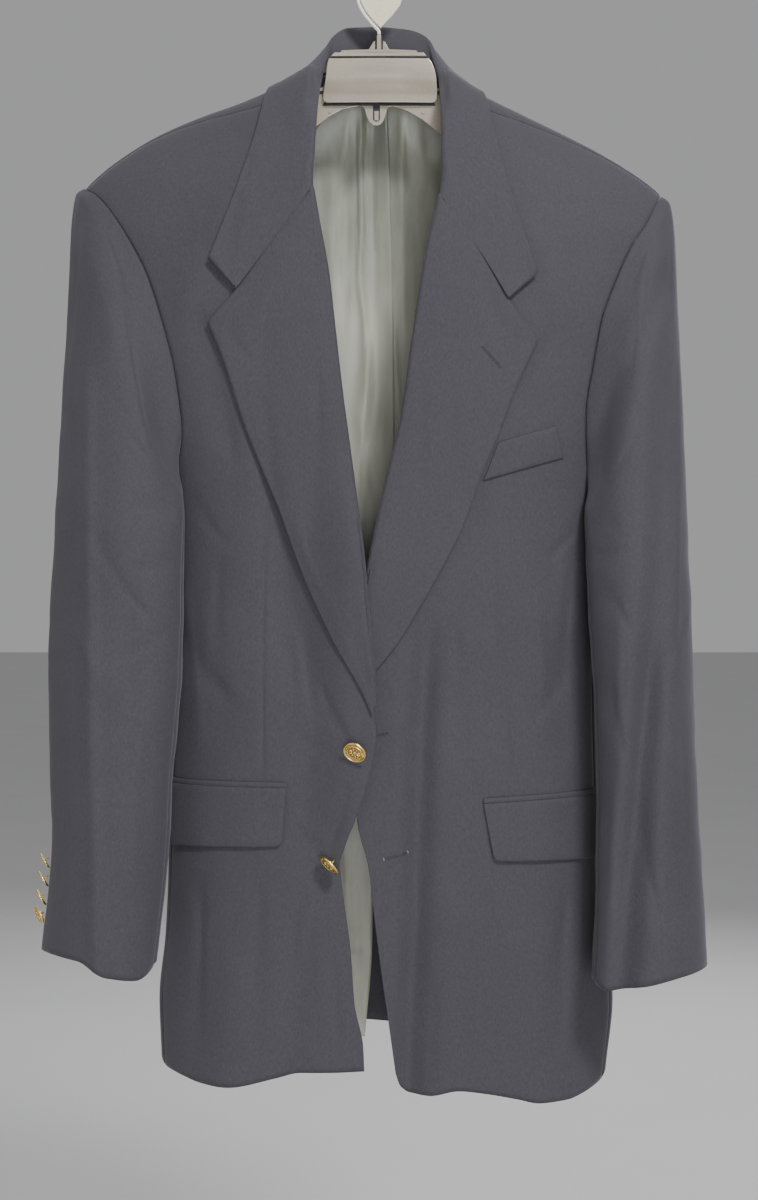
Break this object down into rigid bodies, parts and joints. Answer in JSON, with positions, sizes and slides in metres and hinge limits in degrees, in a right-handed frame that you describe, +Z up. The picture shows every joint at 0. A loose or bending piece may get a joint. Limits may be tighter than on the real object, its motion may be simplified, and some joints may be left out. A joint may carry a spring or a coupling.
{
  "type": "blazer on a hanger",
  "caption": "Navy single-breasted two-button blazer with notch lapels and gilt buttons, hanging open on a grey plastic hanger with a white wire hook.",
  "frame": {"origin": "inside top of the hanger's hook, where it rests on a rail", "axes": "+X to the viewer's right, +Y away from the viewer towards the garment's back, +Z up"},
  "size_m": [0.5526, 0.1728, 0.965],
  "materials": {
    "navy_wool": "matte",
    "lining_satin": "satin",
    "gilt_metal": "polished",
    "hanger_plastic": "gloss",
    "white_wire": "gloss"
  },
  "bodies": {
    "root": {"front_left": "navy_wool", "front_right": "navy_wool", "side_left": "navy_wool", "side_right": "navy_wool", "back_left": "navy_wool", "back_right": "navy_wool", "top_sleeve_left": "navy_wool", "top_sleeve_right": "navy_wool", "under_sleeve_left": "navy_wool", "under_sleeve_right": "navy_wool", "lapel_left": "navy_wool", "lapel_right": "navy_wool", "collar": "navy_wool", "flap_left": "navy_wool", "flap_right": "navy_wool", "jet_left": "navy_wool", "jet_right": "navy_wool", "chest_welt": "navy_wool", "back_lining_left": "lining_satin", "back_lining_right": "lining_satin", "front_button_upper": "gilt_metal", "front_button_lower": "gilt_metal", "cuff_button_left_1": "gilt_metal", "cuff_button_left_2": "gilt_metal", "cuff_button_left_3": "gilt_metal", "cuff_button_left_4": "gilt_metal", "cuff_button_right_1": "gilt_metal", "cuff_button_right_2": "gilt_metal", "cuff_button_right_3": "gilt_metal", "cuff_button_right_4": "gilt_metal", "hanger_arms": "hanger_plastic", "hanger_plate": "hanger_plastic", "hanger_flange": "hanger_plastic", "hanger_stem": "hanger_plastic", "hanger_hook": "white_wire", "hanger_web": "white_wire"}
  },
  "joints": []
}
